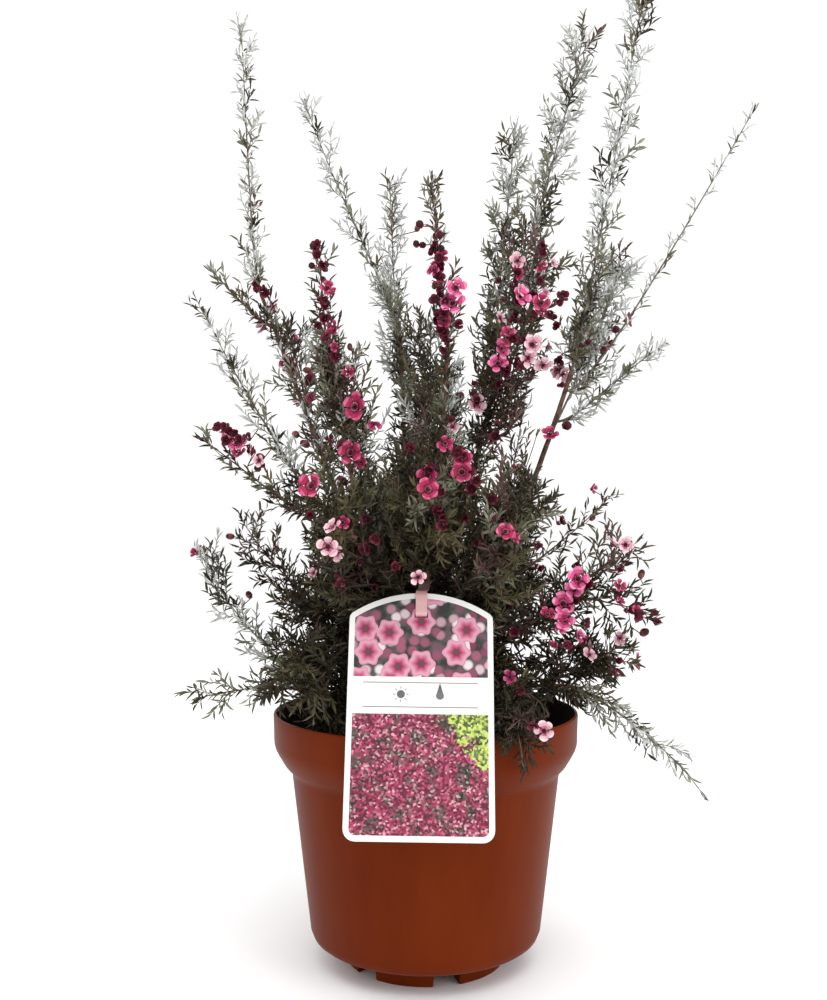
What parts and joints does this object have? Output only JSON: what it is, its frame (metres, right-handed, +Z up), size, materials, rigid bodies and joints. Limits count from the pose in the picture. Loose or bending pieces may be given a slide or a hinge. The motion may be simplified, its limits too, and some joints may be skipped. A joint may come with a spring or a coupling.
{
  "type": "potted flowering shrub",
  "caption": "Narrow-leaved evergreen shrub with small pink blossoms, standing in a brown plastic nursery pot with a hanging picture label.",
  "frame": {"origin": "middle of the pot's flat underside, where the pot's axis meets the surface that it stands on", "axes": "+Z up along the pot's axis, -Y towards the side that carries the label, +X to the right of that side"},
  "size_m": [0.3397, 0.2213, 0.5591],
  "materials": {
    "pot_plastic": "satin injection-moulded polypropylene, brown terracotta colour",
    "potting_mix": "dark moist bark and peat potting mix, loose and rough",
    "bark": "thin brown bark with long fine fissures",
    "foliage_olive": "small stiff leaves, dark olive, with pink petals",
    "foliage_silver": "small stiff leaves with a silver-grey bloom",
    "foliage_red": "small stiff leaves, red-brown, with deep red buds and pink petals",
    "label_card": "white printed plastic card",
    "label_strap": "thin pale pink plastic strap"
  },
  "bodies": {
    "root": {"pot": "pot_plastic", "soil": "potting_mix", "trunk": "bark", "bough_leader": "bark", "bough_right": "bark", "bough_left": "bark", "bough_spike": "bark", "bough_back_left": "bark", "bough_left_front": "bark", "bough_right_side": "bark", "bough_left_low": "bark", "bough_front": "bark", "bough_back": "bark", "bough_left_side": "bark", "bough_low_right": "bark", "bough_low_left": "bark", "leader_far_left": "foliage_silver", "arm_left": "foliage_olive", "left_shoulder": "foliage_olive", "bud_spike": "foliage_red", "heart_front": "foliage_olive", "heart_left": "foliage_olive", "heart_right": "foliage_olive", "heart_back": "foliage_olive", "mid_left": "foliage_olive", "leader_left": "foliage_silver", "grey_spray": "foliage_silver", "bloom_spike": "foliage_red", "mid_centre": "foliage_olive", "leader_centre": "foliage_silver", "side_spray": "foliage_silver", "mid_right": "foliage_red", "leader_right": "foliage_silver", "arm_right": "foliage_silver", "right_shoulder": "foliage_silver", "right_side": "foliage_silver", "inner_right": "foliage_olive", "right_mid": "foliage_olive", "left_low_tall": "foliage_silver", "left_low_pink": "foliage_red", "left_silver": "foliage_silver", "left_upper": "foliage_olive", "low_left": "foliage_silver", "skirt_left": "foliage_olive", "low_right": "foliage_olive", "right_low": "foliage_olive", "skirt_right": "foliage_olive", "right_bush": "foliage_olive", "right_bloom": "foliage_red", "front_centre": "foliage_olive", "front_left": "foliage_olive", "front_right": "foliage_olive", "back_centre": "foliage_olive", "back_left": "foliage_olive", "back_right": "foliage_olive", "back_low_left": "foliage_olive", "back_low_right": "foliage_olive", "label_card": "label_card", "label_strap": "label_strap"}
  },
  "joints": []
}
